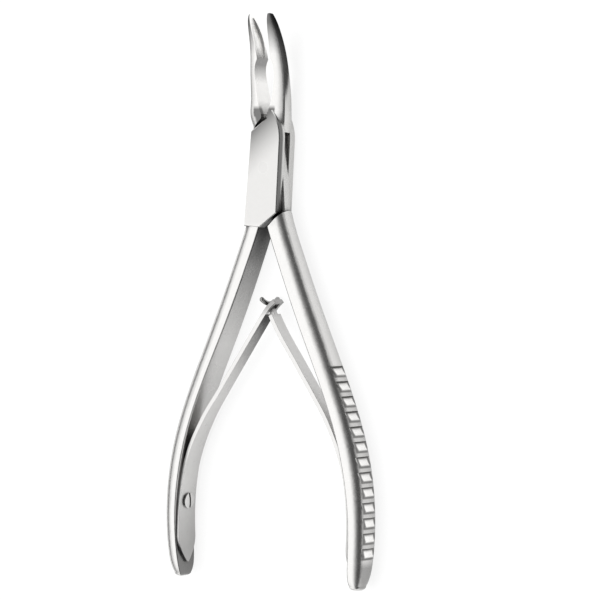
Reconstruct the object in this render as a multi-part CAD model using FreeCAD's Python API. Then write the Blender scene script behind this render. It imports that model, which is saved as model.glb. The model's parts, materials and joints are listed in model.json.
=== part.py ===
import FreeCAD, Part
import os
from math import atan2, cos, degrees, pi, radians, sin

from FreeCAD import Placement, Rotation, Vector

# Bone rongeur: two steel arms crossed in a box lock, spoon jaws, two leaf springs.
# Frame: origin on the pivot axis at the back face of the joint, +Y to the jaw tips,
# +Z out of the front face. Both arms are drawn with the jaws closed, mirror images about
# X = 0, and each is then turned by half the opening angle into the spring-open rest pose.

# Driving dimensions, in millimetres
OPENING_DEG = 8.0          # angle between the arms, from spring-open to jaws closed
JAW_MEET = 0.03            # each jaw's flat stays this far from the closing plane
THICK = 7.0                # front to back over the box lock
MID = THICK / 2            # height of the plane half way through the thickness

# Cross sections of jaws and handles
SECTION_EDGE = 0.35        # rounding of the two inner edges
JAW_FLAT = 0.45            # share of the width that is flat on the front and the back
HANDLE_FLAT = 0.28
CROWN_LIMIT = 0.92         # the rounded side reaches at most this share of half the depth
CROWN_LEAN = 66            # corner arcs turn this many degrees before the crown arc

# Jaws
TIP_Y = 37.6               # jaw tips above the pivot axis
JAW_RIM = 0.42             # wall left round the cup
CUP_END_Y = 27.1           # lower end of the cup
CUP_TIP_WALL = 0.55        # wall left beyond the cup at the tip
CUP_DEPTH = 1.15           # deepest point of the cup below the closing plane
CUP_WALL = 0.55            # least wall behind the cup
CUP_FULLNESS = 0.7         # below 1 the cup is rounder than an ellipse towards its two ends
CUP_SPAN = (0.06, 0.94)    # first and last ring, as shares of the half turn along the cup
TIP_ROUND = 0.35           # length of the rounding at the blunt jaw tip
RELIEF_TOP_Y = 26.9        # the inner sides stand back between these two heights
RELIEF_LOW_Y = 13.3
RELIEF_DEPTH = 1.2
RELIEF_BOW = ((0.72, 0.25), (1.0, 0.55), (0.75, 0.88))   # shares of its depth and its height

# Height up the jaw: outer side from the closing plane, back and front above the mid plane
JAW_STATIONS = (
    (7.5, 4.45, -3.25, 3.3),
    (13.0, 4.5, -3.1, 3.2),
    (16.5, 4.25, -2.85, 3.05),
    (20.5, 3.9, -2.3, 3.05),
    (24.5, 3.45, -1.6, 3.35),
    (28.5, 2.8, -1.0, 3.95),
    (31.5, 2.3, -0.1, 4.75),
    (34.5, 1.75, 1.3, 5.6),
    (36.6, 1.2, 2.7, 5.95),
    (TIP_Y, 0.75, 3.5, 5.85),
)

# Box lock
BOX_HALF = 4.4             # half the width of the box
BOX_FLARE = 0.35           # the right side of the box stands out this much more at its foot
PLATE = 2.35               # each of the two plates of the box
SLOT_PLAY = 0.05           # clearance on each flat side of the tongue
WALL_PLAY = 0.12           # clearance between the walls that meet when the jaws are closed
TOP_SIDE_Y = 8.7           # upper stop edge: at the side of the box, and at the middle
TOP_MID_Y = 12.2
LOW_SIDE_Y = -10.9         # lower stop edge: at the side of the box, and at the middle
LOW_MID_Y = -14.8
SLOT_TOP_SIDE_Y = 8.8      # upper end of the slot: at the side, and at the middle
SLOT_TOP_MID_Y = 12.9
SLOT_LOW_SIDE_Y = -8.8     # lower end of the slot: at the side, and at the middle
SLOT_LOW_MID_Y = -13.5
CREST_LOW_Y = 13.8         # the flat front of the box runs out on the jaw in a crest that
CREST_TOP = (1.5, 14.4)    # starts on the closing plane at this height, peaks at this point,
CREST_BEND = (3.05, 12.2)  # passes this one
CREST_SIDE_Y = 7.2         # and meets the side of the box at this height
BOX_BREAK = 0.22           # broken edge round the plates
PIN_R = 1.5                # pivot pin, flush and pressed in both plates
PIN_PLAY = 0.03            # radial clearance of the pin in the tongue

# Handles, jaws closed: height, inner side from the middle, thickness, front to back depth
HANDLE_STATIONS = (
    (-8.0, -0.25, 4.9, 6.86),
    (-14.0, 0.05, 5.3, 6.86),
    (-20.5, 1.85, 5.4, 7.05),
    (-32.4, 5.7, 5.4, 7.45),
    (-44.3, 10.0, 5.3, 7.9),
    (-56.2, 14.4, 5.0, 8.3),
    (-68.1, 17.85, 4.8, 8.6),
    (-79.9, 19.6, 4.6, 8.6),
    (-86.5, 19.8, 4.4, 8.5),
    (-92.0, 19.5, 4.3, 8.3),
    (-98.0, 18.75, 4.2, 7.7),
    (-101.5, 18.25, 3.85, 6.7),
    (-103.6, 18.2, 2.9, 5.0),
)
HANDLE_END_ROUND = 1.1     # length of the rounding at the blunt handle end

# Finger grooves across the outer side of each handle: a square ledge, then a hollow that
# runs out downwards
GROOVES = 13
GROOVE_FIRST_Y = -49.85    # ledge of the highest groove, jaws closed
GROOVE_PITCH = 3.71        # measured along Y
GROOVE_LENGTH = 2.6        # from the ledge to where the hollow runs out
GROOVE_DEPTH = 0.75        # at the ledge

# Leaf springs, drawn in the rest pose
LEAF_T = 1.1               # thickness of both leaves, down to the height where they thin out
LEAF_FULL_Y = -62.0
LEAF_FOOT_T = 0.6          # thickness at the pointed lower end
LEAF_SEAT = 0.05           # the leaf lies this close to the handle
LEAF_FOOT_Y = -99.3        # pointed lower end
LEAF_ARCH_Y = -92.6        # where the pointed end starts
ARCH_BULGE = (0.59, 0.62)  # a point of the arch: share of its height, share of its half width
LEAF_ROOT_YS = (-101.5, -98.0, -92.0, -86.5, -79.9, -74.0)   # heights of its path on the handle
LEAF_HALF_FOOT = 3.55      # half the width, from the foot to the tip of the leaf
LEAF_WIDTHS = ((LEAF_ARCH_Y, LEAF_HALF_FOOT), (-71.0, 2.9), (-57.0, 2.1), (-25.0, 1.9))
# Middle lines of the leaves above their roots, both drawn as on the right
LEAF_BEND = ((18.7, -62.6), (14.3, -56.0), (9.1, -48.4))
NECK_BEND = ((3.1, -39.6),)
CURL = ((3.3, -40.0), (0.4, -35.9), (-1.0, -34.2), (-2.5, -32.9))
NECK_HALF = 0.75           # half the width of the neck behind the T-head
NECK_Y = -36.4             # where the right leaf narrows to its neck
HOOK_R = 0.6               # round bar of the T-head
HOOK_HALF = 3.85           # half the length of the T-head, along its middle line
HOOK_RISE = 1.4            # the arms of the T-head turn up this much
HOOK_AT = (-0.1, -33.6)    # centre of the T-head
WINDOW_HALF = 1.0          # half the width of the slot in the left leaf
WINDOW_LOW_Y = -36.6       # the slot lies between these two heights
WINDOW_TOP_Y = -33.35

# Spring screws
SCREW_Y = -85.3            # height of both screws, jaws closed
SCREW_HEAD_R = 1.95
SCREW_HEAD_H = 0.65
SCREW_SHANK_R = 1.1
SCREW_GRIP = 3.2           # length of shank inside the handle
SCREW_BLADE_W = 0.6
SCREW_BLADE_DEPTH = 0.42
SCREW_BLADE_TURN = 12      # degrees from the direction of the handle
SCREW_CROWN = 0.35         # share of the head's height that is domed
SCREW_BORE_SPARE = 0.3     # the bore is this much deeper than the shank
SCREW_LEAF_PLAY = 0.12     # radial clearance of the shank in the leaf

HALF_TURN = OPENING_DEG / 2
REACH = 2.0                # cutters and joined pieces run past their partner by this much
UP = Vector(0, 0, 1)


def turned(shape, degrees_ccw):
    """The shape turned about the pivot axis, seen from the front."""
    copy = shape.copy()
    copy.rotate(Vector(0, 0, 0), UP, degrees_ccw)
    return copy


def mirrored(shape):
    """The same shape for the other arm, jaws closed."""
    return shape.mirror(Vector(0, 0, 0), Vector(1, 0, 0))


def plate(points, z_low, z_high):
    """A flat plate with a straight-sided outline given as (x, y) pairs."""
    corners = [Vector(x, y, z_low) for x, y in points]
    outline = Part.makePolygon(corners + corners[:1])
    return Part.Face(outline).extrude(UP * (z_high - z_low))


def smooth(points):
    """A smooth curve through the points."""
    curve = Part.BSplineCurve()
    curve.interpolate(Points=points)
    return curve.toShape()


def d_section(y, x_in, x_out, z_low, z_high, edge, side_share):
    """Outline at height y: flat towards the middle, rounded by three arcs on the outside."""
    z_mid = (z_low + z_high) / 2
    half = (z_high - z_low) / 2
    rise = min((x_out - x_in) * (1 - side_share), CROWN_LIMIT * half)
    x_side = x_out - rise
    lean = radians(CROWN_LEAN)
    share = (1 - sin(lean)) / cos(lean)
    corner = (rise - half * share) / (1 - share)
    cut = edge * (1 - cos(radians(45)))

    def at(x, z):
        return Vector(x, y, z)

    def on_corner(angle, way):
        across = x_side + corner * sin(angle)
        return at(across, z_mid + way * (half - corner + corner * cos(angle)))

    corners = [(on_corner(lean / 2, way), on_corner(lean, way)) for way in (1, -1)]
    (front_mid, front_end), (back_mid, back_end) = corners
    edges = [
        Part.makeLine(at(x_in, z_low + edge), at(x_in, z_high - edge)),
        Part.Arc(at(x_in, z_high - edge), at(x_in + cut, z_high - cut),
                 at(x_in + edge, z_high)).toShape(),
        Part.makeLine(at(x_in + edge, z_high), at(x_side, z_high)),
        Part.Arc(at(x_side, z_high), front_mid, front_end).toShape(),
        Part.Arc(front_end, at(x_out, z_mid), back_end).toShape(),
        Part.Arc(back_end, back_mid, at(x_side, z_low)).toShape(),
        Part.makeLine(at(x_side, z_low), at(x_in + edge, z_low)),
        Part.Arc(at(x_in + edge, z_low), at(x_in + cut, z_low + cut),
                 at(x_in, z_low + edge)).toShape(),
    ]
    return Part.Wire(edges)


def between(stations, y):
    """The station values at height y, straight between neighbouring stations."""
    for low, high in zip(stations, stations[1:]):
        if min(low[0], high[0]) <= y <= max(low[0], high[0]):
            share = (y - low[0]) / (high[0] - low[0])
            return [a + share * (b - a) for a, b in zip(low, high)]
    raise ValueError("height %.1f lies outside the stations" % y)


def blunt_end(y, x_in, x_out, z_low, z_high, edge, side_share, reach):
    """Rounded end of a lofted arm: its last outline, shrunk along a quarter ellipse."""
    x_mid, z_mid = (x_in + x_out) / 2, (z_low + z_high) / 2
    rings = []
    for turn in (0, 25, 48, 66, 79):
        size = cos(radians(turn))
        x_half, z_half = (x_out - x_in) / 2 * size, (z_high - z_low) / 2 * size
        rings.append(d_section(y + reach * sin(radians(turn)), x_mid - x_half, x_mid + x_half,
                               z_mid - z_half, z_mid + z_half, edge * size, side_share))
    return Part.makeLoft(rings, True, False)


def jaw():
    """Right jaw: a lofted blade, hollowed to a spoon, standing back below its cup."""
    outlines = [(y, -x_out, x_out, MID + back, MID + front, SECTION_EDGE, JAW_FLAT)
                for y, x_out, back, front in JAW_STATIONS]
    blade = Part.makeLoft([d_section(*outline) for outline in outlines], True, False)
    blade = blade.fuse(blunt_end(*outlines[-1], TIP_ROUND)).removeSplitter()
    inside = Part.makeBox(THICK, 2 * TIP_Y, 3 * THICK, Vector(JAW_MEET - THICK, 0, -THICK))
    return blade.cut(inside).cut(cup()).cut(relief())


def cup():
    """Hollow of the spoon: ellipses that follow the blade and leave a rim round them."""
    rings = []
    top = TIP_Y - CUP_TIP_WALL
    steps = 8
    for i in range(steps + 1):
        angle = pi * (CUP_SPAN[0] + (CUP_SPAN[1] - CUP_SPAN[0]) * i / steps)
        y = (CUP_END_Y + top) / 2 - (top - CUP_END_Y) / 2 * cos(angle)
        _, x_out, back, front = between(JAW_STATIONS, y)
        fullness = sin(angle) ** CUP_FULLNESS
        wide = ((front - back) / 2 - JAW_RIM) * fullness
        deep = min(CUP_DEPTH, x_out - CUP_WALL) * fullness
        ring = Part.makeCircle(1, Vector(0, 0, 0), Vector(0, 1, 0))
        squeeze = FreeCAD.Matrix()
        squeeze.scale(Vector(deep, 1, wide))
        squeeze.move(Vector(JAW_MEET, y, MID + (front + back) / 2))
        rings.append(Part.Wire(ring.transformGeometry(squeeze).Edges))
    return Part.makeLoft(rings, True, False)


def relief():
    """Space that keeps the jaws apart between the cups and the joint."""
    low = Vector(JAW_MEET, RELIEF_LOW_Y, 0)
    high = Vector(JAW_MEET, RELIEF_TOP_Y, 0)
    span = RELIEF_TOP_Y - RELIEF_LOW_Y
    bow = [Vector(RELIEF_DEPTH * deep, RELIEF_LOW_Y + span * up, 0) for deep, up in RELIEF_BOW]
    clear = Vector(BOX_HALF, 0, 0)
    outside = Part.makePolygon([high, high - clear, low - clear, low])
    outline = Part.Wire([smooth([low] + bow + [high])] + outside.Edges)
    return Part.Face(outline).extrude(UP * 3 * THICK).translated(Vector(0, 0, -THICK))


def handle():
    """Right handle: a lofted bar, flat inside and rounded outside, with finger grooves."""
    outlines = [(y, x_in, x_in + thick, MID - depth / 2, MID + depth / 2,
                 SECTION_EDGE, HANDLE_FLAT) for y, x_in, thick, depth in HANDLE_STATIONS]
    bar = Part.makeLoft([d_section(*outline) for outline in outlines], True, False)
    bar = bar.fuse(blunt_end(*outlines[-1], -HANDLE_END_ROUND)).removeSplitter()
    return bar.cut([groove(GROOVE_FIRST_Y - i * GROOVE_PITCH) for i in range(GROOVES)])


def groove(y):
    """Cutter for one finger groove with its ledge at height y."""
    x, y, slope = handle_side(y, outer=True)
    radius = (GROOVE_LENGTH ** 2 + GROOVE_DEPTH ** 2) / (2 * GROOVE_DEPTH)
    runs_out = atan2(GROOVE_LENGTH, radius - GROOVE_DEPTH)

    def hollow(angle):
        return Vector(radius - GROOVE_DEPTH - radius * cos(angle), -radius * sin(angle), 0)

    end = hollow(1.5 * runs_out)
    arc = Part.Arc(hollow(0), hollow(0.75 * runs_out), end)
    lid = Part.makePolygon([end, Vector(end.x, 0, 0), hollow(0)])
    cutter = Part.Face(Part.Wire([arc.toShape()] + lid.Edges)).extrude(UP * 3 * THICK)
    cutter.Placement = Placement(Vector(x, y, -THICK), Rotation(UP, degrees(slope)))
    return cutter


def handle_side(y, outer=False):
    """x and y on a side of the right handle, and the direction that points outwards."""
    step = 1.0
    here, above, below = (between(HANDLE_STATIONS, y + d) for d in (0, step, -step))
    x, x_above, x_below = (s[1] + (s[2] if outer else 0) for s in (here, above, below))
    return x, y, atan2(x_below - x_above, 2 * step)


def box_outline():
    """Outline of the box with its flat front: stop edges, sides and the crest on the jaw."""
    wide = BOX_HALF + BOX_FLARE
    slope = (LOW_MID_Y - LOW_SIDE_Y) / wide
    points = [Vector(-BOX_HALF, TOP_SIDE_Y, 0),
              Vector(JAW_MEET, TOP_MID_Y, 0),
              Vector(JAW_MEET, CREST_LOW_Y, 0),
              Vector(*CREST_TOP, 0)]
    crest = Part.Arc(points[-1], Vector(*CREST_BEND, 0), Vector(BOX_HALF, CREST_SIDE_Y, 0))
    foot = [crest.EndPoint, Vector(wide, LOW_SIDE_Y, 0),
            Vector(-JAW_MEET, LOW_SIDE_Y + slope * (wide + JAW_MEET), 0),
            Vector(-wide, LOW_MID_Y, 0), points[0]]
    return Part.Wire(Part.makePolygon(points).Edges + [crest.toShape()]
                     + Part.makePolygon(foot).Edges)


def box_block():
    """The thick part of the box arm round the pivot, with broken front and back edges."""
    block = Part.Face(box_outline()).extrude(UP * THICK)
    level = [edge for edge in block.Edges if edge.BoundBox.ZLength < BOX_BREAK]
    return block.makeChamfer(BOX_BREAK, level)


def slot():
    """Space between the two plates of the box, open to both sides."""
    far = 4 * BOX_HALF
    points = [(far, SLOT_TOP_SIDE_Y), (BOX_HALF, SLOT_TOP_SIDE_Y), (0, SLOT_TOP_MID_Y),
              (-far, SLOT_TOP_MID_Y), (-far, SLOT_LOW_SIDE_Y),
              (-BOX_HALF, SLOT_LOW_SIDE_Y), (0, SLOT_LOW_MID_Y),
              (0, LOW_MID_Y - REACH), (far, LOW_MID_Y - REACH)]
    return plate(points, PLATE, THICK - PLATE)


def tongue():
    """The flat of the through arm that passes between the plates of the box."""
    side = BOX_HALF - WALL_PLAY
    points = [(side, SLOT_TOP_SIDE_Y - WALL_PLAY), (-WALL_PLAY, SLOT_TOP_MID_Y - WALL_PLAY),
              (-side, TOP_SIDE_Y + REACH / 2), (-side, SLOT_LOW_SIDE_Y + WALL_PLAY),
              (WALL_PLAY, SLOT_LOW_MID_Y + WALL_PLAY), (side, LOW_SIDE_Y - REACH)]
    return plate(points, PLATE + SLOT_PLAY, THICK - PLATE - SLOT_PLAY)


def pin_hole(radius):
    return Part.makeCylinder(radius, 3 * THICK, Vector(0, 0, -THICK), UP)


def screw_frame():
    """Place of the right spring screw: origin on the handle, +Z into the handle."""
    x, y, slope = handle_side(SCREW_Y)
    turn = Rotation(UP, Vector(cos(slope), sin(slope), 0))
    return Placement(Vector(x, y, MID), turn)


def screw_bore(radius):
    """Blind bore for the right spring screw, and its hole through the leaf."""
    bore = Part.makeCylinder(radius, SCREW_GRIP + SCREW_BORE_SPARE + 3 * LEAF_T,
                             Vector(0, 0, -3 * LEAF_T), UP)
    bore.Placement = screw_frame()
    return bore


def box_arm(right_jaw, right_handle):
    """Right jaw, slotted box and left handle, in one piece of steel."""
    body = box_block().fuse([right_jaw, mirrored(right_handle)])
    body = body.cut([slot(), pin_hole(PIN_R)])
    return turned(body.removeSplitter(), -HALF_TURN)


def through_arm(right_jaw, right_handle):
    """Left jaw, tongue and right handle, in one piece of steel."""
    far = 3 * BOX_HALF
    left_jaw = mirrored(right_jaw)
    above = plate([(-far, TOP_SIDE_Y - (TOP_MID_Y - TOP_SIDE_Y) * (far / BOX_HALF - 1)),
                   (far, TOP_MID_Y + (TOP_MID_Y - TOP_SIDE_Y) * far / BOX_HALF),
                   (far, -far), (-far, -far)], -THICK, 2 * THICK)
    lift = Vector(-sin(atan2(TOP_MID_Y - TOP_SIDE_Y, BOX_HALF)),
                  cos(atan2(TOP_MID_Y - TOP_SIDE_Y, BOX_HALF)), 0) * WALL_PLAY
    left_jaw = left_jaw.cut(above.translated(lift))
    wide = BOX_HALF + BOX_FLARE
    drop = (LOW_SIDE_Y - LOW_MID_Y) / wide
    below = plate([(-far, LOW_MID_Y - drop * far), (far, LOW_MID_Y + drop * far),
                   (far, far), (-far, far)], -THICK, 2 * THICK)
    sink = Vector(sin(atan2(drop, 1)), -cos(atan2(drop, 1)), 0) * WALL_PLAY
    right_handle = right_handle.cut(below.translated(sink))
    body = tongue().fuse([left_jaw, right_handle])
    body = body.cut(pin_hole(PIN_R + PIN_PLAY))
    return turned(body.removeSplitter(), HALF_TURN)


def pivot_pin():
    return Part.makeCylinder(PIN_R, THICK)


def leaf_thickness(y):
    """Thickness of a leaf at height y."""
    share = (y - LEAF_FOOT_Y) / (LEAF_FULL_Y - LEAF_FOOT_Y)
    return LEAF_FOOT_T + (LEAF_T - LEAF_FOOT_T) * min(max(share, 0), 1)


def strip(points):
    """A strip of spring steel on a smooth path, seen along Z, wider than any leaf."""
    path = smooth([Vector(x, y, 0) for x, y in points])
    sides = ([], [])
    count = 2 * len(points)
    for i in range(count + 1):
        at = path.FirstParameter + (path.LastParameter - path.FirstParameter) * i / count
        along = path.tangentAt(at)
        middle = path.valueAt(at)
        across = Vector(-along.y, along.x, 0) * (leaf_thickness(middle.y) / 2)
        for side, way in zip(sides, (1, -1)):
            side.append(middle + across * way)
    rails = [smooth(side) for side in sides]
    ends = [Part.makeLine(sides[0][k], sides[1][k]) for k in (0, -1)]
    outline = Part.Wire(Part.sortEdges(rails + ends)[0])
    return Part.Face(outline).extrude(UP * 2 * THICK).translated(Vector(0, 0, MID - THICK))


def leaf_front(top_y):
    """Outline of a leaf seen square on: pointed foot, wide root and narrow blade."""
    widths = [w for w in LEAF_WIDTHS if w[0] < top_y]
    widths.append((top_y, between(LEAF_WIDTHS, top_y)[1]))
    right = [Vector(0, y, MID + half) for y, half in reversed(widths)]
    left = [Vector(0, y, MID - half) for y, half in widths]
    point = Vector(0, LEAF_FOOT_Y, MID)
    bulge = Vector(0, LEAF_ARCH_Y + (LEAF_FOOT_Y - LEAF_ARCH_Y) * ARCH_BULGE[0],
                   LEAF_HALF_FOOT * ARCH_BULGE[1])
    arches = [Part.Arc(right[-1], bulge + Vector(0, 0, MID), point).toShape(),
              Part.Arc(point, Vector(0, bulge.y, MID - bulge.z), left[0]).toShape()]
    edges = (Part.makePolygon(right).Edges + arches + Part.makePolygon(left).Edges
             + [Part.makeLine(left[-1], right[0])])
    reach = -HANDLE_STATIONS[-1][0]
    return Part.Face(Part.Wire(edges)).extrude(Vector(2 * reach, 0, 0)).translated(
        Vector(-reach, 0, 0))


def leaf_root():
    """Path of the right leaf where it lies on its handle, from foot to bend, at rest."""
    points = []
    for y in LEAF_ROOT_YS:
        x, y, slope = handle_side(y)
        off = leaf_thickness(y) / 2 + LEAF_SEAT
        on_handle = Vector(x - cos(slope) * off, y - sin(slope) * off, 0)
        at = Rotation(UP, HALF_TURN).multVec(on_handle)
        points.append((at.x, at.y))
    return points


def right_leaf_spring():
    """Leaf on the right handle: it ends in a neck with a T-head."""
    path = leaf_root() + list(LEAF_BEND) + list(NECK_BEND) + [HOOK_AT]
    neck = Part.makeBox(2 * THICK, HOOK_AT[1] - NECK_Y + THICK, 2 * NECK_HALF,
                        Vector(-THICK, NECK_Y - LEAF_T / 2, MID - NECK_HALF))
    leaf = strip(path).common(leaf_front(NECK_Y).fuse(neck))
    leaf = leaf.cut(turned(screw_bore(SCREW_SHANK_R + SCREW_LEAF_PLAY), HALF_TURN))
    return leaf.fuse(t_head()).removeSplitter()


def t_head():
    """Round bar across the end of the neck, its two arms turned up a little."""
    x, y = HOOK_AT
    middle = Vector(x, y, MID)
    bend = (HOOK_HALF ** 2 + HOOK_RISE ** 2) / (2 * HOOK_RISE)
    sweep = degrees(atan2(HOOK_HALF, bend - HOOK_RISE))
    section = Part.Face(Part.Wire(Part.makeCircle(HOOK_R, middle, UP)))
    centre = middle + Vector(0, bend, 0)
    section.rotate(centre, Vector(1, 0, 0), -sweep)
    bar = section.revolve(centre, Vector(1, 0, 0), 2 * sweep)
    rims = [e for e in bar.Edges if e.Closed]
    return bar.makeFillet(0.8 * HOOK_R, rims)


def left_leaf_spring():
    """Leaf on the left handle: its curled top has a slot for the other leaf's neck."""
    path = [(-x, y) for x, y in leaf_root() + list(LEAF_BEND + CURL)]
    leaf = strip(path).common(leaf_front(LEAF_WIDTHS[-1][0]))
    window = Part.makeBox(2 * THICK, WINDOW_TOP_Y - WINDOW_LOW_Y, 2 * WINDOW_HALF,
                          Vector(-THICK, WINDOW_LOW_Y, MID - WINDOW_HALF))
    bore = mirrored(turned(screw_bore(SCREW_SHANK_R + SCREW_LEAF_PLAY), HALF_TURN))
    return leaf.cut([window, bore])


def spring_screw():
    """Slotted screw of the right spring, head on the leaf, shank in the handle."""
    under = -(leaf_thickness(SCREW_Y) + 2 * LEAF_SEAT)
    crown = SCREW_HEAD_H * SCREW_CROWN
    top = under - SCREW_HEAD_H
    profile = Part.makePolygon([Vector(0, 0, top), Vector(0, 0, SCREW_GRIP),
                                Vector(SCREW_SHANK_R, 0, SCREW_GRIP),
                                Vector(SCREW_SHANK_R, 0, under),
                                Vector(SCREW_HEAD_R, 0, under),
                                Vector(SCREW_HEAD_R, 0, top + crown)])
    dome = Part.Arc(Vector(SCREW_HEAD_R, 0, top + crown),
                    Vector(SCREW_HEAD_R * 0.55, 0, top + crown * 0.25),
                    Vector(0, 0, top)).toShape()
    screw = Part.Face(Part.Wire(profile.Edges + [dome])).revolve(Vector(0, 0, 0), UP, 360)
    blade = Part.makeBox(SCREW_BLADE_W, 4 * SCREW_HEAD_R, 2 * SCREW_BLADE_DEPTH,
                         Vector(-SCREW_BLADE_W / 2, -2 * SCREW_HEAD_R,
                                top - SCREW_BLADE_DEPTH))
    blade.rotate(Vector(0, 0, 0), UP, SCREW_BLADE_TURN)
    screw = screw.cut(blade)
    screw.Placement = screw_frame()
    return turned(screw, HALF_TURN)


def main():
    os.makedirs("parts", exist_ok=True)
    right_jaw = jaw()
    right_handle = handle().cut(screw_bore(SCREW_SHANK_R))
    right_screw = spring_screw()
    nodes = {
        "box_arm": box_arm(right_jaw.copy(), right_handle.copy()),
        "through_arm": through_arm(right_jaw.copy(), right_handle.copy()),
        "pivot_pin": pivot_pin(),
        "left_leaf_spring": left_leaf_spring(),
        "right_leaf_spring": right_leaf_spring(),
        "left_spring_screw": mirrored(right_screw),
        "right_spring_screw": right_screw,
    }
    for name, shape in nodes.items():
        shape.exportStep("parts/%s.step" % name)
        box = shape.BoundBox
        print("%-20s solids %d valid %s volume %.1f  x %.2f..%.2f y %.2f..%.2f z %.2f..%.2f" % (
            name, len(shape.Solids), shape.isValid(), shape.Volume,
            box.XMin, box.XMax, box.YMin, box.YMax, box.ZMin, box.ZMax))


main()
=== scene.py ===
# %% [markdown]
# # A bone rongeur in satin steel
# This notebook dresses the exact model of a small pair of bone nippers. The forged parts
# come in finished and stay as they are: two arms crossed in a box lock, the pivot pin and
# two slotted screws. What is left to make here are the two leaf springs, which have to
# bend when the handles close, the finishes of the steel, and the light.
#
# One frame holds for everything: metres, the pivot pin along Z, the jaw tips towards +Y
# and the front face towards +Z. The instrument lies on its back on a white table.

# %% Load the fixed parts
import json
from math import atan2, cos, pi, radians, sin

import bmesh
import bpy
from mathutils import Matrix, Vector

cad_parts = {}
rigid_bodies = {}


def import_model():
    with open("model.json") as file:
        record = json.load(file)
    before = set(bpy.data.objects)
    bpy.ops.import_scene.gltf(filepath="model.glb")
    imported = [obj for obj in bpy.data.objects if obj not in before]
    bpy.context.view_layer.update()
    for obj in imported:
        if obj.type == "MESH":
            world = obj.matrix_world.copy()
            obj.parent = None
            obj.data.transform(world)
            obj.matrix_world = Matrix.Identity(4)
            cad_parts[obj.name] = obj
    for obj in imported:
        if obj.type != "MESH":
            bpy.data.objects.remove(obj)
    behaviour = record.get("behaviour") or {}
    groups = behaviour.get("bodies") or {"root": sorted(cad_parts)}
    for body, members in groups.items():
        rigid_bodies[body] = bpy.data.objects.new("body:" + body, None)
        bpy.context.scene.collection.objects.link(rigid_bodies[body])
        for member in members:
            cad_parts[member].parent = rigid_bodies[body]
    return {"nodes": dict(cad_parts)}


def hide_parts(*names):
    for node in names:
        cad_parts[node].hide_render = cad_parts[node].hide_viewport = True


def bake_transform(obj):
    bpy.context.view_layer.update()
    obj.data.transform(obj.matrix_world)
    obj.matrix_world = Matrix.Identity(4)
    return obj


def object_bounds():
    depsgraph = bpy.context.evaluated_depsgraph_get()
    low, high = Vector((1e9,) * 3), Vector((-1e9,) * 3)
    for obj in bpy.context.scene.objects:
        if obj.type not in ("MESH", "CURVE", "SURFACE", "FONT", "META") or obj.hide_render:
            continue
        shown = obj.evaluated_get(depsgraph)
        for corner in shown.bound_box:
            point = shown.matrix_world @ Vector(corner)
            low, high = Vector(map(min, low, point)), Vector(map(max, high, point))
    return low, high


for leftover in list(bpy.data.objects):
    bpy.data.objects.remove(leftover)
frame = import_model()
MM = 0.001
cad_low, cad_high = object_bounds()
print("fixed parts:", ", ".join(frame["nodes"]))
print("size in mm:", [round((high - low) / MM, 1) for low, high in zip(cad_low, cad_high)])

# %% [markdown]
# ## Shader maths that reads like maths
# A finish is a chain of nodes. Added and linked one by one, they take a page of calls in
# which the formula is lost. Two small classes keep it in sight. `Value` wraps one output
# socket and overloads the operators, so that `1 - mask * 0.4` adds its Math nodes by
# itself. `Tree.add` makes any other node: its type, then its settings, then what goes
# into its sockets.

# %% A socket that can be calculated with
class Value:
    """One output socket in a shader expression."""

    def __init__(self, tree, socket):
        self.tree = tree
        self.socket = socket

    def maths(self, operation, first, second=0.0):
        return self.tree.maths(operation, first, second)

    def __add__(self, other):
        return self.maths("ADD", self, other)

    def __sub__(self, other):
        return self.maths("SUBTRACT", self, other)

    def __rsub__(self, other):
        return self.maths("SUBTRACT", other, self)

    def __mul__(self, other):
        return self.maths("MULTIPLY", self, other)

    def __truediv__(self, other):
        return self.maths("DIVIDE", self, other)

    def __pow__(self, other):
        return self.maths("POWER", self, other)

    def __neg__(self):
        return self.maths("MULTIPLY", self, -1.0)

    __radd__ = __add__
    __rmul__ = __mul__

    def clipped(self):
        """The same value, held between 0 and 1."""
        return self.tree.add("ShaderNodeClamp", {}, {"Value": self})


print("a Value can be added, subtracted, multiplied, divided, raised and clipped")

# %% A node tree with one way to add a node
class Tree:
    """The nodes of a material or of the world."""

    def __init__(self, owner):
        owner.use_nodes = True
        self.nodes = owner.node_tree.nodes
        self.links = owner.node_tree.links
        self.nodes.clear()

    def add(self, kind, settings=None, sockets=None, output=0):
        """Adds a node: settings first, then values or links for its sockets."""
        node = self.nodes.new(kind)
        for name, value in (settings or {}).items():
            if name == "stops":
                self.set_stops(node.color_ramp, value)
            else:
                setattr(node, name, value)
        for name, value in (sockets or {}).items():
            if isinstance(value, Value):
                self.links.new(value.socket, node.inputs[name])
            else:
                node.inputs[name].default_value = value
        if node.outputs:
            return Value(self, node.outputs[output])

    def maths(self, operation, first, second=0.0):
        """One Math node."""
        return self.add("ShaderNodeMath", {"operation": operation}, {0: first, 1: second})

    @staticmethod
    def set_stops(ramp, stops):
        """Gives a colour ramp grey stops, as (position, brightness) pairs."""
        while len(ramp.elements) > 1:
            ramp.elements.remove(ramp.elements[-1])
        for number, (position, grey) in enumerate(stops):
            stop = ramp.elements[0] if number == 0 else ramp.elements.new(position)
            stop.position = position
            stop.color = (grey, grey, grey, 1.0)


OBJECT_COORDINATES = 3                # output of the Texture Coordinate node
NORMAL = 1                            # output of the Geometry node
print("a Tree adds nodes, maths and ramps of grey")

# %% [markdown]
# ## The grain of satin steel
# Surgical steel is polished and then matted with fine glass beads or a soft wheel, so that it
# doesn't glare under the lamp. Close up that is a very fine, even grain. Over millimetres the
# shine drifts a little, because hands and trays rub it. Edges are rubbed most and end up
# smoother, and they also get a painted highlight, a lighter colour; the bottoms of grooves and
# slots keep more of the matting, and get a painted shade where other steel is close.
#
# All of it could be painted, but noise in the object's own coordinates needs no image,
# keeps its scale on every part, and survives a change of shape. The Bevel node finds the
# edges, and ambient occlusion finds the gaps.

# %% Noise, edges and gaps
NOISE_ROUGHNESS = 0.55
EDGE_CONTRAST = 9.0


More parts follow.
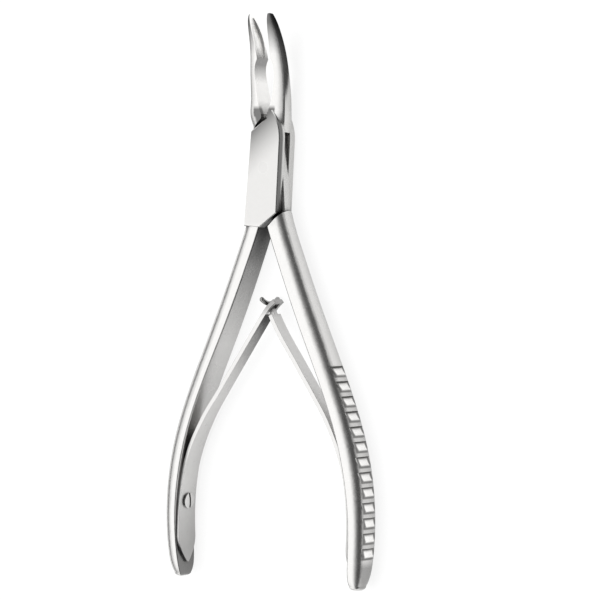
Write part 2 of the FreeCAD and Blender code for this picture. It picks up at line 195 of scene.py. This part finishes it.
def noise(tree, size, stretch=(1, 1, 1), detail=2.0, turn=0.0):
    """Soft noise with features of the given size in metres, stretched along the axes."""
    where = tree.add("ShaderNodeTexCoord", output=OBJECT_COORDINATES)
    scale = [1 / (size * s) for s in stretch]
    placed = tree.add("ShaderNodeMapping", {"vector_type": "TEXTURE"},
                      {"Vector": where, "Rotation": (0, 0, turn)})
    scaled = tree.add("ShaderNodeMapping", {}, {"Vector": placed, "Scale": scale})
    return tree.add("ShaderNodeTexNoise", {}, {"Vector": scaled, "Scale": 1.0,
                                               "Detail": detail, "Roughness": NOISE_ROUGHNESS})


def rubbed_and_highlit_edge(tree, reach):
    """1 along outer edges, 0 on open faces."""
    rounded = tree.add("ShaderNodeBevel", {"samples": 6}, {"Radius": reach})
    flat = tree.add("ShaderNodeNewGeometry", output=NORMAL)
    agreement = tree.add("ShaderNodeVectorMath", {"operation": "DOT_PRODUCT"},
                         {0: rounded, 1: flat}, output=1)
    return ((1 - agreement) * EDGE_CONTRAST).clipped()


def open_share(tree, reach):
    """Share of the view that no steel blocks within reach: 1 in the open."""
    return tree.add("ShaderNodeAmbientOcclusion", {"samples": 8}, {"Distance": reach}, output=1)


print("noise with a roughness of", NOISE_ROUGHNESS)

# %% [markdown]
# ## Painted shade and highlights by place
# Much of the shading of the steel is painted into its colour. Painted shade darkens the narrow
# V under the lock and the inner sides between the leaves, the upper left of the lock's front
# plate and its upper flanks, the edges and tips of the jaws, the inner sides near the feet, and
# the T-head. Painted highlights brighten the inner faces of the relief and the cups and the
# insides of the thumb grooves, whose rims get painted shade. The crowns of the jaws are not
# painted: their normal leans to the front, so they look flat and bright.
#
# Painted vertex colours could carry this, but the forged parts' meshes must stay as they
# are. So each shade is worked out from where a point lies and which way its surface
# looks. Every range below is a pair, where a shade starts and where it is full, or four
# values, for a shade that also fades and ends. Heights and distances are millimetres.

# %% Shades that come and go
def rising(value, low, high):
    """0 below low, 1 above high, straight between."""
    return ((value - low) / (high - low)).clipped()


def falling(value, low, high):
    """1 below low, 0 above high, straight between."""
    return 1 - rising(value, low, high)


def band(value, start, full, fading, end):
    """0 before start and past end, 1 from full to fading."""
    return rising(value, start, full) * falling(value, fading, end)


def darker(bright, mask, share):
    """The brightness, less a share of it where the mask is 1."""
    return bright * (1 - mask * share)


def axes(tree, vector):
    """The three components of a vector."""
    return [tree.add("ShaderNodeSeparateXYZ", {}, {0: vector}, output=i) for i in range(3)]


def places(tree):
    """Where a point lies, in millimetres, and where its surface looks: `out` is 1 on the
    outer sides of both arms and -1 on their inner sides, `up` is 1 on the front."""
    here = tree.add("ShaderNodeTexCoord", output=OBJECT_COORDINATES)
    x, y, z = (axis / MM for axis in axes(tree, here))
    normal = axes(tree, tree.add("ShaderNodeNewGeometry", output=NORMAL))
    return x, y, z, normal[0] * tree.maths("SIGN", x), normal[2]


MIDDLE = 3.5 * MM                     # half way through the joint
print("the middle plane of the tool is at", MIDDLE / MM, "mm")

# %% The thumb grooves: painted highlights inside, painted shade on the rims
GROOVES, GROOVE_TOP, GROOVE_PITCH = 13, 49.85, 3.71
HALF_TURN = radians(4.0)              # each arm stands this far from closed
ROW = GROOVES * GROOVE_PITCH
HIGHLIGHT_STEP, HIGHLIGHT_SIDE, GROOVE_HIGHLIGHT = (0.12, 0.24, 0.54, 0.62), (1.6, 2.0), 0.8
HOLLOW_STEP, HOLLOW_SIDE = (0.72, 0.80), (2.5, 2.9)
RIM_STEP, RIM_SIDE, RIM_DARK = (0.08, 0.16, 0.58, 0.66), (1.8, 2.2), 0.55
ROW_HEIGHTS, ROW_OUT, ROW_DARK = (-0.3, 0.0, ROW - 1.0, ROW - 0.6), (0.3, 0.6), 0.15
END_HEIGHTS, END_OUT, END_DARK = (ROW - 1.0, ROW + 1.0), (0.5, 0.9), 0.5


def groove_painted_light(tree, x, y, z, out):
    """Brightness of the row of grooves, as painted highlights inside each groove and painted
    shade on its rims, over the row and past its end; a step of 1 is one groove, from its top
    edge.
    """
    closed_y = y * cos(HALF_TURN) - tree.maths("ABSOLUTE", x) * sin(HALF_TURN)
    below = -closed_y - GROOVE_TOP
    step = tree.maths("FRACT", below / GROOVE_PITCH)
    side = tree.maths("ABSOLUTE", z - MIDDLE / MM)
    # Painted highlights inside each groove, and painted shade on its rims, over the whole row
    # and past its end.
    inside = band(step, *HIGHLIGHT_STEP) * falling(side, *HIGHLIGHT_SIDE)
    hollow = falling(step, *HOLLOW_STEP) * falling(side, *HOLLOW_SIDE)
    rim = hollow * (1 - band(step, *RIM_STEP) * falling(side, *RIM_SIDE))
    row = band(below, *ROW_HEIGHTS) * rising(out, *ROW_OUT)
    handle_end = rising(below, *END_HEIGHTS) * rising(out, *END_OUT)
    return darker(1 + row * (inside * GROOVE_HIGHLIGHT - rim * RIM_DARK - ROW_DARK), handle_end, END_DARK)


print(GROOVES, "grooves over", round(ROW, 1), "mm")

# %% The arms
UNDER_LOCK, V_REACH, V_POWER = (-44.0, -22.0, -12.0, -8.0), 20 * MM, 4.1
LOCK, FRONT = (-15.0, -13.5, 14.4, 15.4), (0.97, 0.99)
PLATE_SLANT, PLATE_RUN, PLATE_POWER = 0.8, (0.0, 12.0), 1.5
PLATE_DARK, PLATE_EVEN, PLATE_MATT = 0.7, 0.05, 0.10
FLANK, FLANK_TOP, FLANK_DARK = (0.8, 0.95), (5.1, 5.7), 0.75
JAW, JAW_EDGE, JAW_DARK = (12.0, 27.0), (0.75, 0.88), 0.5
TIP_HEIGHTS, TIP_SIDE, TIP_DARK = (28.0, 35.5), (-0.4, 0.1), 0.78
INNER, INNER_START, INNER_DARK, BOW_BRIGHT = (0.4, 0.8), (12.0, 14.0), 0.5, 1.05
RELIEF_BOW, CUP_BOW = (13.0, 16.5, 21.0, 25.5), (27.0, 30.0)
FOOT_SHADE, FOOT_DARK = (84.0, 94.0), 0.7
CROWN_START, CROWN_OUT, CROWN_FLAT = (10.0, 14.0), (0.05, 0.35), 1.1
CROWN_SIDE, CROWN_ROOT = (0.78, 0.9), (15.0, 25.0)


def arm_painted_shade_and_matting(tree):
    """How much painted shade or painted highlight each place of an arm gets, 1 being even, how
    much more matt it is, and how far the normal of its crown leans to the front."""
    x, y, z, out, up = places(tree)
    # Painted shade in the V under the lock, darker where the other arm is close.
    bright = 1 - band(y, *UNDER_LOCK) * (1 - open_share(tree, V_REACH) ** V_POWER)
    lock = band(y, *LOCK)
    # Painted shade on the lock's front plate, darker towards the upper left; the plate is also
    # a little more matt.
    plate = rising(up, *FRONT) * lock
    slope = rising(y - x * PLATE_SLANT, *PLATE_RUN) ** PLATE_POWER
    bright = darker(bright, plate, slope * PLATE_DARK + PLATE_EVEN)
    # Painted shade on the upper flanks of the lock.
    flank = rising(tree.maths("ABSOLUTE", out), *FLANK) * lock
    bright = darker(bright, flank * rising(z, *FLANK_TOP), FLANK_DARK)
    # Painted shade along the outer edges of the jaws and on their tips.
    bright = darker(bright, rising(out, *JAW_EDGE) * rising(y, *JAW), JAW_DARK)
    bright = darker(bright, rising(out, *TIP_SIDE) * rising(y, *TIP_HEIGHTS), TIP_DARK)
    # Painted highlights on the inner faces of the relief and the cups, and painted shade on the
    # rest of the jaws' inner faces and near the feet.
    inner = rising(-out, *INNER)
    bow = band(y, *RELIEF_BOW) + rising(y, *CUP_BOW)
    bright *= 1 + inner * rising(y, *INNER_START) * (bow * BOW_BRIGHT - INNER_DARK)
    bright = darker(bright, inner * rising(-y, *FOOT_SHADE), FOOT_DARK)
    crown = rising(y, *CROWN_START) * rising(out, *CROWN_OUT) * CROWN_FLAT
    crown *= 1 - rising(out, *CROWN_SIDE) * falling(y, *CROWN_ROOT)
    return bright * groove_painted_light(tree, x, y, z, out), plate * PLATE_MATT, crown


print("the lock reaches from", LOCK[0], "to", LOCK[-1], "mm")

# %% The leaves
LEAF_TIPS, LEAF_INNER = (-60.0, -46.0), (0.3, 0.6)
LEAF_REACH, LEAF_POWER = 24 * MM, 8.5
HEAD_HEIGHTS, HEAD_DARK = (-37.0, -34.5), 0.45
LEAF_FEET, LEAF_FOOT_DARK = (80.0, 96.0), 0.35


def leaf_painted_shade(tree):
    """Painted shade: the inner sides of the leaves darken between their tips, and the hooked
    tips and the feet a little."""
    _, y, _, out, _ = places(tree)
    # Painted shade between the leaves' tips where the other leaf is close, on the T-head, and
    # near the feet.
    tips = rising(y, *LEAF_TIPS) * rising(-out, *LEAF_INNER)
    bright = 1 - tips * (1 - open_share(tree, LEAF_REACH) ** LEAF_POWER)
    bright = darker(bright, rising(y, *HEAD_HEIGHTS), HEAD_DARK)
    return darker(bright, rising(-y, *LEAF_FEET), LEAF_FOOT_DARK), 0.0, 0.0


print("the leaves darken above", LEAF_TIPS[0], "mm")

# %% [markdown]
# ## One recipe for every steel part
# All parts are the same kind of steel, so one function makes every finish and only a few
# numbers differ: how matt it is, how coarse the grain is, whether it has long polish marks, and
# which of the painted shades above it gets. One material for all would be simpler, but the
# turned screws are shinier than the ground arms, and the leaves are drawn lengthways.
#
# The brightness, with its painted shade and highlights, mixes from black to a colour that is
# lighter than the steel, so that a painted highlight of more than 1 has room. The grain goes
# into a Bump node. Its base is the surface's own normal, leaning to the front on the crowns,
# which look flatter by it.

# %% The recipe for a steel finish
STEEL = (0.575, 0.57, 0.562)
BLACK = (0.0, 0.0, 0.0)
BRIGHT_ROOM = 0.6                     # a finish can be brighter than its colour by 1 / this
EDGE_REACH, GAP_REACH, GAP_CONTRAST = 0.25 * MM, 1.2 * MM, 1.5
DRIFT_SIZE, CLOUD_SIZE = 6 * MM, 1.3 * MM
ROUGH_DRIFT, ROUGH_CLOUD, ROUGH_GRAIN, ROUGH_GAP, ROUGH_EDGE = 0.10, 0.06, 0.04, 0.12, 0.06
# The last is a painted highlight: how much lighter the edges are coloured.
TONE_LOW, TONE_SPAN, EDGE_HIGHLIGHT = 0.95, 0.17, 0.4
GRAIN_SHARE, STREAK_SHARE = 0.4, 0.8


def mixed(tree, factor, first, second):
    """A colour between two colours."""
    return tree.add("ShaderNodeMix", {"data_type": "RGBA"},
                    {0: factor, 6: (*first, 1.0), 7: (*second, 1.0)}, output=2)


def shade(colour, share):
    """The colour, darker or lighter by a share."""
    return tuple(channel * share for channel in colour)


def flattened(tree, share):
    """The surface's normal, leaning towards the front by a share."""
    normal = tree.add("ShaderNodeNewGeometry", output=NORMAL)
    front = tree.add("ShaderNodeCombineXYZ", {}, {2: share})
    leaning = tree.add("ShaderNodeVectorMath", {"operation": "ADD"}, {0: normal, 1: front})
    return tree.add("ShaderNodeVectorMath", {"operation": "NORMALIZE"}, {0: leaning})


def steel(name, colour, shine, grain_size, grain_depth, lines=None, turn=0.0, painted_shade_and_matting=None,
          gap_shade=0.6):
    """A steel finish. `shine` is its roughness, `lines` the stretch of its polish marks, and
    the last argument how much painted shade darkens the bottoms of grooves and gaps."""
    material = bpy.data.materials.new(name)
    tree = Tree(material)
    edge = rubbed_and_highlit_edge(tree, EDGE_REACH)
    # Painted shade: the colour darkens in gaps and hollows where other steel is close; the same
    # places are also more matt.
    gap_matting_and_shade = ((1 - open_share(tree, GAP_REACH)) * GAP_CONTRAST).clipped()
    drift = noise(tree, DRIFT_SIZE, detail=3.0)
    cloud = noise(tree, CLOUD_SIZE, detail=4.0)
    grain = noise(tree, grain_size, detail=1.0)
    height = grain
    if lines:
        streaks = noise(tree, grain_size, lines, detail=2.0, turn=turn)
        height = grain * GRAIN_SHARE + streaks * STREAK_SHARE
    rough = shine + (drift - 0.5) * ROUGH_DRIFT + (cloud - 0.5) * ROUGH_CLOUD
    rough = rough + height * ROUGH_GRAIN + gap_matting_and_shade * ROUGH_GAP - edge * ROUGH_EDGE
    # Random tone from the noise, and a painted highlight that colours the edges lighter.
    tone_and_edge_highlight = (drift * 0.5 + cloud * 0.5 + edge * EDGE_HIGHLIGHT).clipped()
    bright = (TONE_LOW + tone_and_edge_highlight * TONE_SPAN) * (1 - gap_matting_and_shade * gap_shade)
    crown = 0.0
    # Painted shade and highlights by place, and, where a part has them, more matting and a
    # flatter crown.
    if painted_shade_and_matting:
        more_bright, more_rough, crown = painted_shade_and_matting(tree)
        bright, rough = bright * more_bright, rough + more_rough
    rough = rough.clipped()
    base = mixed(tree, (bright * BRIGHT_ROOM).clipped(), BLACK, shade(colour, 1 / BRIGHT_ROOM))
    bump = tree.add("ShaderNodeBump", {}, {"Strength": 1.0, "Distance": grain_depth,
                                           "Height": height, "Normal": flattened(tree, crown)})
    shader = tree.add("ShaderNodeBsdfPrincipled", {}, {
        "Base Color": base, "Metallic": 1.0, "Roughness": rough, "Normal": bump})
    tree.add("ShaderNodeOutputMaterial", {}, {"Surface": shader})
    print("finish", name, "with", len(tree.nodes), "nodes")
    return material


# %% Finishes for the arms, the pin and the screws
arm_finish = steel("satin_arm_steel", STEEL, 0.24, 0.11 * MM, 0.004 * MM,
                   painted_shade_and_matting=arm_painted_shade_and_matting)
pin_finish = steel("turned_pin_steel", shade(STEEL, 0.98), 0.23, 0.08 * MM, 0.004 * MM,
                   painted_shade_and_matting=arm_painted_shade_and_matting)
screw_finish = steel("screw_steel", shade(STEEL, 0.98), 0.21, 0.07 * MM, 0.004 * MM)

for node, finish in (("box_arm", arm_finish), ("through_arm", arm_finish),
                     ("pivot_pin", pin_finish), ("left_spring_screw", screw_finish),
                     ("right_spring_screw", screw_finish)):
    slots = frame["nodes"][node].data.materials
    slots.clear()
    slots.append(finish)
    print(node, "wears", finish.name)

# %% [markdown]
# ## The leaf springs
# Each spring is a strip of spring steel, 1.1 mm thick, thinned to 0.6 mm at its pointed
# foot. It is screwed to the inner side of a handle, leaves it in a long bend, and crosses
# over to meet its twin on the middle line. The left leaf ends in a curl with a slot; the
# right one narrows to a neck, passes through that slot and ends in a T-head, so the two
# hold each other.
#
# A strip is drawn flat first, as a grid of quads that follows its outline, and then laid
# along a curve seen from the front. Extruding the curve would be quicker, but the grid
# gives even quads that bend cleanly when the handles move, and its outline can narrow,
# point and hold a slot.

# %% Path of a leaf, seen from the front
LEAF_THICK, FOOT_THICK = 1.1 * MM, 0.6 * MM
FULL_Y = -62.0 * MM                             # the leaves thin out below this height
ROOT = [(24.94, -99.98), (25.18, -96.43), (25.47, -90.41), (25.35, -84.93), (24.65, -78.41),
        (23.33, -72.63)]
BEND = [(18.7, -62.6), (14.3, -56.0), (9.1, -48.4)]
NECK = [(3.1, -39.6), (-0.1, -33.6)]
CURL = [(3.3, -40.0), (0.4, -35.9), (-1.0, -34.2), (-2.5, -32.9)]


def smooth_path(points):
    """Points close together on a smooth curve through the given ones, in metres."""
    curve = bpy.data.curves.new("leaf_path", "CURVE")
    spline = curve.splines.new("BEZIER")
    spline.bezier_points.add(len(points) - 1)
    for knot, (x, y) in zip(spline.bezier_points, points):
        knot.co = (x * MM, y * MM, 0)
        knot.handle_left_type = knot.handle_right_type = "AUTO"
    spline.resolution_u = 32
    holder = bpy.data.objects.new("leaf_path", curve)
    line = [vertex.co.copy() for vertex in bpy.data.meshes.new_from_object(holder).vertices]
    bpy.data.objects.remove(holder)
    return line


def at_height(path, y):
    """The path's point at height y."""
    k = next((i for i, point in enumerate(path[1:-1], 1) if point.y > y), len(path) - 1)
    low, high = path[k - 1], path[k]
    along = (high - low).normalized()
    return low + along * ((y - low.y) / along.y)


right_path = smooth_path(ROOT + BEND + NECK)
left_path = smooth_path(ROOT + BEND + CURL)
print("points along the leaves:", len(right_path), len(left_path))

# %% Outline of a leaf, seen square on
FOOT_Y, ARCH_Y, NECK_Y = -99.27 * MM, -92.6 * MM, -36.4 * MM
WIDTHS = [(-92.6, 3.55), (-71.0, 2.9), (-57.0, 2.1), (-25.0, 1.9)]    # height, half width
HALF_TIP, ARCH_POWER = 0.3 * MM, 1.9
NECK_HALF, SLOT_HALF = 0.75 * MM, 1.0 * MM
SLOT_LOW_Y, SLOT_TOP_Y = -36.6 * MM, -33.35 * MM


def half_width(y):
    """Half the width of a leaf at height y: a pointed arch, then a taper in two steps."""
    if y < ARCH_Y:
        share = (ARCH_Y - y) / (ARCH_Y - FOOT_Y)
        return HALF_TIP + (WIDTHS[0][1] * MM - HALF_TIP) * (1 - share ** ARCH_POWER)
    for (low_y, low), (high_y, high) in zip(WIDTHS, WIDTHS[1:]):
        if y <= high_y * MM:
            share = (y / MM - low_y) / (high_y - low_y)
            return (low + (high - low) * share) * MM
    return WIDTHS[-1][1] * MM


def spread(low, high, count):
    """Heights in even steps from low, without high."""
    return [low + (high - low) * i / count for i in range(count)]


print("half width at the slot in mm:", round(half_width(SLOT_LOW_Y) / MM, 2))

# %% A leaf without thickness
STRIPS, OUTER_STRIPS, INNER_STRIPS = range(8), (0, 1, 6, 7), (2, 3, 4, 5)


def leaf_sheet(name, path, inner, heights, gap=(), only=()):
    """A leaf without thickness: eight strips of quads. Between the heights of `gap` the
    four inner strips are left out, and between those of `only` the four outer ones."""
    sheet = bmesh.new()
    rows = []
    for y in heights:
        point = at_height(path, y)
        half = half_width(y)
        core = min(inner, half * 0.5)
        across = [-half, -(half + core) / 2, -core, -core / 2, 0,
                  core / 2, core, (half + core) / 2, half]
        rows.append([sheet.verts.new(point + Vector((0, 0, MIDDLE + z))) for z in across])
    for y, low, high in zip(heights, rows, rows[1:]):
        cells = STRIPS
        if gap and gap[0] <= y < gap[1]:
            cells = OUTER_STRIPS
        if only and only[0] <= y < only[1]:
            cells = INNER_STRIPS
        for c in cells:
            sheet.faces.new((low[c], low[c + 1], high[c + 1], high[c]))
    loose = [v for v in sheet.verts if not v.link_faces]
    bmesh.ops.delete(sheet, geom=loose, context="VERTS")
    mesh = bpy.data.meshes.new(name)
    sheet.to_mesh(mesh)
    sheet.free()
    piece = bpy.data.objects.new(name, mesh)
    bpy.context.scene.collection.objects.link(piece)
    thickness = piece.vertex_groups.new(name="thickness")
    for vertex in mesh.vertices:
        share = min((vertex.co.y - FOOT_Y) / (FULL_Y - FOOT_Y), 1)
        thick = FOOT_THICK + (LEAF_THICK - FOOT_THICK) * share
        thickness.add([vertex.index], thick / LEAF_THICK, "REPLACE")
    return piece


foot = spread(FOOT_Y, ARCH_Y, 12)
left_end = left_path[-1].y
left_leaf = leaf_sheet(
    "left_leaf", left_path, SLOT_HALF,
    foot + spread(ARCH_Y, SLOT_LOW_Y, 60) + spread(SLOT_LOW_Y, SLOT_TOP_Y, 10)
    + spread(SLOT_TOP_Y, left_end, 4) + [left_end], gap=(SLOT_LOW_Y, SLOT_TOP_Y))
left_leaf.data.transform(Matrix.Diagonal((-1, 1, 1, 1)))
left_leaf.data.flip_normals()
right_end = right_path[-1].y
right_leaf = leaf_sheet(
    "right_leaf", right_path, NECK_HALF,
    foot + spread(ARCH_Y, NECK_Y, 60) + spread(NECK_Y, right_end, 8) + [right_end],
    only=(NECK_Y, right_end))
for leaf in (left_leaf, right_leaf):
    print(leaf.name, "is drawn with", len(leaf.data.polygons), "quads")

# %% Thickness and rounded edges
EDGE_ROUNDING = 0.14 * MM


def applied(piece):
    """Turns the piece's modifiers into plain mesh."""
    shaped = piece.evaluated_get(bpy.context.evaluated_depsgraph_get())
    mesh = bpy.data.meshes.new_from_object(shaped)
    piece.modifiers.clear()
    piece.data = mesh
    return piece


def thickened(piece):
    """Gives the sheet its thickness and takes the sharpness off its edges."""
    solid = piece.modifiers.new("thickness", "SOLIDIFY")
    solid.thickness = LEAF_THICK
    solid.vertex_group = "thickness"
    solid.offset = 0
    solid.use_even_offset = True
    rounding = piece.modifiers.new("rounding", "BEVEL")
    rounding.width = EDGE_ROUNDING
    rounding.segments = 3
    rounding.angle_limit = radians(40)
    rounding.harden_normals = True
    return applied(piece)


for leaf in (left_leaf, right_leaf):
    thickened(leaf)
    print(leaf.name, "has", len(leaf.data.polygons), "faces")

# %% [markdown]
# ## The T-head
# The head of the right leaf is a short round bar across the neck, its two ends turned up a
# little and rounded. It is a tube along an arc. A curve with a round bevel would make the tube,
# but its ends stay flat, so the rings are laid one by one: along the arc they keep their size,
# and past each end they shrink like the rings of a half ball. The bar is then fused with the
# leaf, as the real one is forged in one piece.

# %% The bar of the T-head
HOOK_RADIUS, HOOK_HALF, HOOK_RISE = 0.6 * MM, 3.85 * MM, 1.4 * MM
HALF_RINGS, CORNERS = 12, 24
BALL_RINGS = [radians(angle) for angle in (22, 44, 64, 80)]


def hook_bar(name, centre):
    """A round bar on an arc in the plane across the leaf, with rounded ends."""
    bend = (HOOK_HALF ** 2 + HOOK_RISE ** 2) / (2 * HOOK_RISE)
    reach = atan2(HOOK_HALF, bend - HOOK_RISE) - HOOK_RADIUS / bend
    stations = [(reach * (i / HALF_RINGS - 1), 0.0) for i in range(2 * HALF_RINGS + 1)]
    stations = ([(-reach, -ball) for ball in reversed(BALL_RINGS)] + stations
                + [(reach, ball) for ball in BALL_RINGS])
    bar = bmesh.new()
    rings = []
    for turn, ball in stations:
        out = Vector((0, -cos(turn), sin(turn)))
        along = Vector((0, sin(turn), cos(turn)))
        middle = centre + Vector((0, bend, 0)) + out * bend
        middle += along * HOOK_RADIUS * sin(ball)
        size = HOOK_RADIUS * cos(ball)
        rings.append([bar.verts.new(middle + size * (out * cos(a) + Vector((sin(a), 0, 0))))
                      for a in (2 * pi * k / CORNERS for k in range(CORNERS))])
    for low, high in zip(rings, rings[1:]):
        for k in range(CORNERS):
            n = (k + 1) % CORNERS
            bar.faces.new((low[k], low[n], high[n], high[k]))
    bar.faces.new(reversed(rings[0]))
    bar.faces.new(rings[-1])
    bmesh.ops.recalc_face_normals(bar, faces=bar.faces)
    for face in bar.faces:
        face.smooth = True
    mesh = bpy.data.meshes.new(name)
    bar.to_mesh(mesh)
    bar.free()
    piece = bpy.data.objects.new(name, mesh)
    bpy.context.scene.collection.objects.link(piece)
    return piece


head = hook_bar("t_head", right_path[-1] + Vector((0, 0, MIDDLE)))
fuse = right_leaf.modifiers.new("fuse", "BOOLEAN")
fuse.operation = "UNION"
fuse.solver = "EXACT"
fuse.object = head
applied(right_leaf)
bpy.data.objects.remove(head)
print("right leaf with its T-head:", len(right_leaf.data.polygons), "faces")

# %% [markdown]
# ## The leaves' finish
# When the handles close, each leaf's root follows its own handle, and the linked tips stay on
# the middle line between the two. No motion is set up here: each leaf gets its finish, its
# transform is baked into its mesh, and the spring part of the model that it stands for is
# hidden. The polish marks run along the leaf, so the finish knows how far the leaf leans.

# %% Finish of the leaves
ROOT_END = Vector((22.0 * MM, -70.0 * MM, MIDDLE))
TIP = Vector((0, -34.0 * MM, MIDDLE))


def mirrored(point):
    """The same point on the other side of the tool."""
    return Vector((-point.x, point.y, point.z))


LEAF_LEAN = atan2(ROOT_END.x, TIP.y - ROOT_END.y)
for leaf, node, own, other, start, lean in (
        (right_leaf, "right_leaf_spring", "crossing_arm", "slotted_arm", ROOT_END, LEAF_LEAN),
        (left_leaf, "left_leaf_spring", "slotted_arm", "crossing_arm", mirrored(ROOT_END),
         -LEAF_LEAN)):
    leaf.data.materials.clear()
    leaf.data.materials.append(steel(leaf.name + "_steel", shade(STEEL, 0.96), 0.27,
                                     0.06 * MM, 0.004 * MM, lines=(1, 9, 1), turn=lean,
                                     painted_shade_and_matting=leaf_painted_shade, gap_shade=0.2))
    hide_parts(node)
    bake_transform(leaf)
    print(leaf.name, "bends between", own, "and", other)

# %% [markdown]
# ## The table
# The tool lies on white paper, which stays white to the camera but still takes a soft
# shadow. More light would whiten a matt paper too, but it would also burn out the steel.
# So most of the white that the camera sees is the paper's own, and a matt surface
# underneath it takes the shadow. In the steel's reflections the paper is a shade greyer.
# The table is hidden from shadow rays, because the ambient occlusion that darkens the
# gaps between the steel parts would find it under every side of the tool.

# %% A white table that keeps the shadow
TABLE_HALF = 3.0
PAPER = (0.95, 0.95, 0.95, 1)
CAMERA_WHITE, MIRROR_WHITE = 0.85, 0.60
CAMERA_RAY, GLOSSY_RAY, TRANSMISSION_RAY = 0, 3, 6      # outputs of the Light Path node


def rays_that_see(tree, camera_share, mirror_share):
    """The first share for the camera, the second for rays mirrored or passed on by a piece."""
    camera, mirrored_on, passed_on = (tree.add("ShaderNodeLightPath", output=ray)
                                      for ray in (CAMERA_RAY, GLOSSY_RAY, TRANSMISSION_RAY))
    return (camera * camera_share + (mirrored_on + passed_on) * mirror_share).clipped()


table_mesh = bpy.data.meshes.new("table")
corners = [(x * TABLE_HALF, y * TABLE_HALF, cad_low.z)
           for x, y in ((-1, -1), (1, -1), (1, 1), (-1, 1))]
table_mesh.from_pydata(corners, [], [(0, 1, 2, 3)])
table = bpy.data.objects.new("table", table_mesh)
bpy.context.scene.collection.objects.link(table)
paper = bpy.data.materials.new("white_table")
tree = Tree(paper)
matt = tree.add("ShaderNodeBsdfDiffuse", {}, {"Color": PAPER})
own_white = tree.add("ShaderNodeEmission", {}, {"Color": (1, 1, 1, 1), "Strength": 1.0})
surface = tree.add("ShaderNodeMixShader", {}, {
    0: rays_that_see(tree, CAMERA_WHITE, MIRROR_WHITE), 1: matt, 2: own_white})
tree.add("ShaderNodeOutputMaterial", {}, {"Surface": surface})
table_mesh.materials.append(paper)
table.visible_shadow = False
print("table at", round(cad_low.z / MM, 2), "mm")

# %% [markdown]
# ## The room
# Polished steel has hardly any colour of its own: it shows the room. A white room alone
# makes it flat and grey. Lamps and black cards side by side would give it form, but each
# has an edge and a place to tune. Here the whole room is one ramp over one angle, how far
# a direction leans to the left or right of straight up. It is white on the upper left,
# falls through grey to a dark band on the right, and is light again low down on the
# right. Flat fronts mirror the white, and rounded sides run from white through a dark
# band to light.
#
# The camera itself sees plain white behind the table.

# %% A room that is bright by angle
ROOM = [(-96, 0.0), (-95, 0.10), (-84, 0.14), (-72, 0.27), (-60, 0.55), (-50, 0.88),
        (-42, 1.0), (-14, 1.0), (-2, 0.84), (8, 0.58), (20, 0.30), (32, 0.14), (44, 0.075),
        (68, 0.06), (76, 0.15), (84, 0.50), (91, 0.70), (95, 0.65), (96, 0.0)]
ROOM_STRENGTH = 1.68

world = bpy.data.worlds.new("studio")
bpy.context.scene.world = world
tree = Tree(world)
right, _, up = axes(tree, tree.add("ShaderNodeTexCoord"))
lean = tree.maths("ARCTAN2", right, up)
room = tree.add("ShaderNodeValToRGB", {"stops": [(0.5 + a / 360, v) for a, v in ROOM]},
                {0: lean / (2 * pi) + 0.5})
glow = tree.add("ShaderNodeBackground", {}, {"Color": room, "Strength": ROOM_STRENGTH})
plain = tree.add("ShaderNodeBackground", {}, {"Color": (1, 1, 1, 1), "Strength": 1.0})
seen = tree.add("ShaderNodeMixShader", {}, {0: rays_that_see(tree, 1, 0), 1: glow, 2: plain})
tree.add("ShaderNodeOutputWorld", {}, {"Surface": seen})
print("the room has", len(ROOM), "shades")

# %% [markdown]
# ## Two lamps for the table
# The shadow beside the tool comes from two soft lamps above it, a big one leaning to the
# left and a fill straight overhead. One lamp gives a harder shadow. Neither is mirrored
# in the steel, because the room's ramp already holds all that the steel shows.

# %% Soft lamps that the steel doesn't mirror
LAMP_LEAN = radians(-16.5)
LAMP_AWAY, FILL_AWAY = 0.8, 1.4
LAMP_AIM = Vector((0, -0.03, 0))


def lamp(name, lean, away, size, watts):
    """A rectangular lamp that looks at the tool, leaning towards +X by an angle."""
    light = bpy.data.lights.new(name, "AREA")
    light.shape = "RECTANGLE"
    light.size, light.size_y = size
    light.energy = watts
    holder = bpy.data.objects.new(name, light)
    holder.matrix_world = (Matrix.Translation(LAMP_AIM) @ Matrix.Rotation(lean, 4, "Y")
                           @ Matrix.Translation((0, 0, away)))
    holder.visible_glossy = False
    bpy.context.scene.collection.objects.link(holder)
    print("lamp", name, watts, "W")


lamp("big_soft_lamp", LAMP_LEAN, LAMP_AWAY, (1.02, 0.82), 4.6)
lamp("fill", 0.0, FILL_AWAY, (2.0, 2.0), 6.0)

# %% [markdown]
# ## The camera
# The photograph looks down on the instrument, turned about a third of a right angle
# towards its right side, from arm's length. That close, the right handle is nearer than
# the left one and comes out longer, so the distance matters as much as the angle. The
# numbers come from comparing outlines: how many millimetres one pixel covers, and where
# the middle of the picture falls. Placing the camera by eye would be quicker, but no edge
# would then lie where the photograph has it.

# %% The camera at the photograph's angle
VIEW_TURN, VIEW_RISE, VIEW_ROLL = radians(34.0), radians(0.9), radians(0.36)
VIEW_AWAY = 0.70
PICTURE_PIXELS, PIXEL = 600, 0.2479 * MM
VIEW_WIDTH = PICTURE_PIXELS * PIXEL
PICTURE_MIDDLE = (7.396 * MM, -0.84 * MM)     # right and up from the point below
LOOKED_AT = Vector((0, -31.9 * MM, MIDDLE))
SENSOR = 36.0

camera = bpy.data.cameras.new("camera")
camera.sensor_width = SENSOR
camera.lens = SENSOR * VIEW_AWAY / VIEW_WIDTH
camera.clip_start, camera.clip_end = 0.01, 20
eye = bpy.data.objects.new("camera", camera)
turn = (Matrix.Rotation(VIEW_TURN, 4, "Y") @ Matrix.Rotation(-VIEW_RISE, 4, "X")
        @ Matrix.Rotation(VIEW_ROLL, 4, "Z"))
eye.matrix_world = (Matrix.Translation(LOOKED_AT) @ turn
                    @ Matrix.Translation((*PICTURE_MIDDLE, VIEW_AWAY)))
bpy.context.scene.collection.objects.link(eye)
bpy.context.scene.camera = eye
bpy.context.scene.view_settings.view_transform = "Standard"
print("lens", round(camera.lens, 1), "mm")
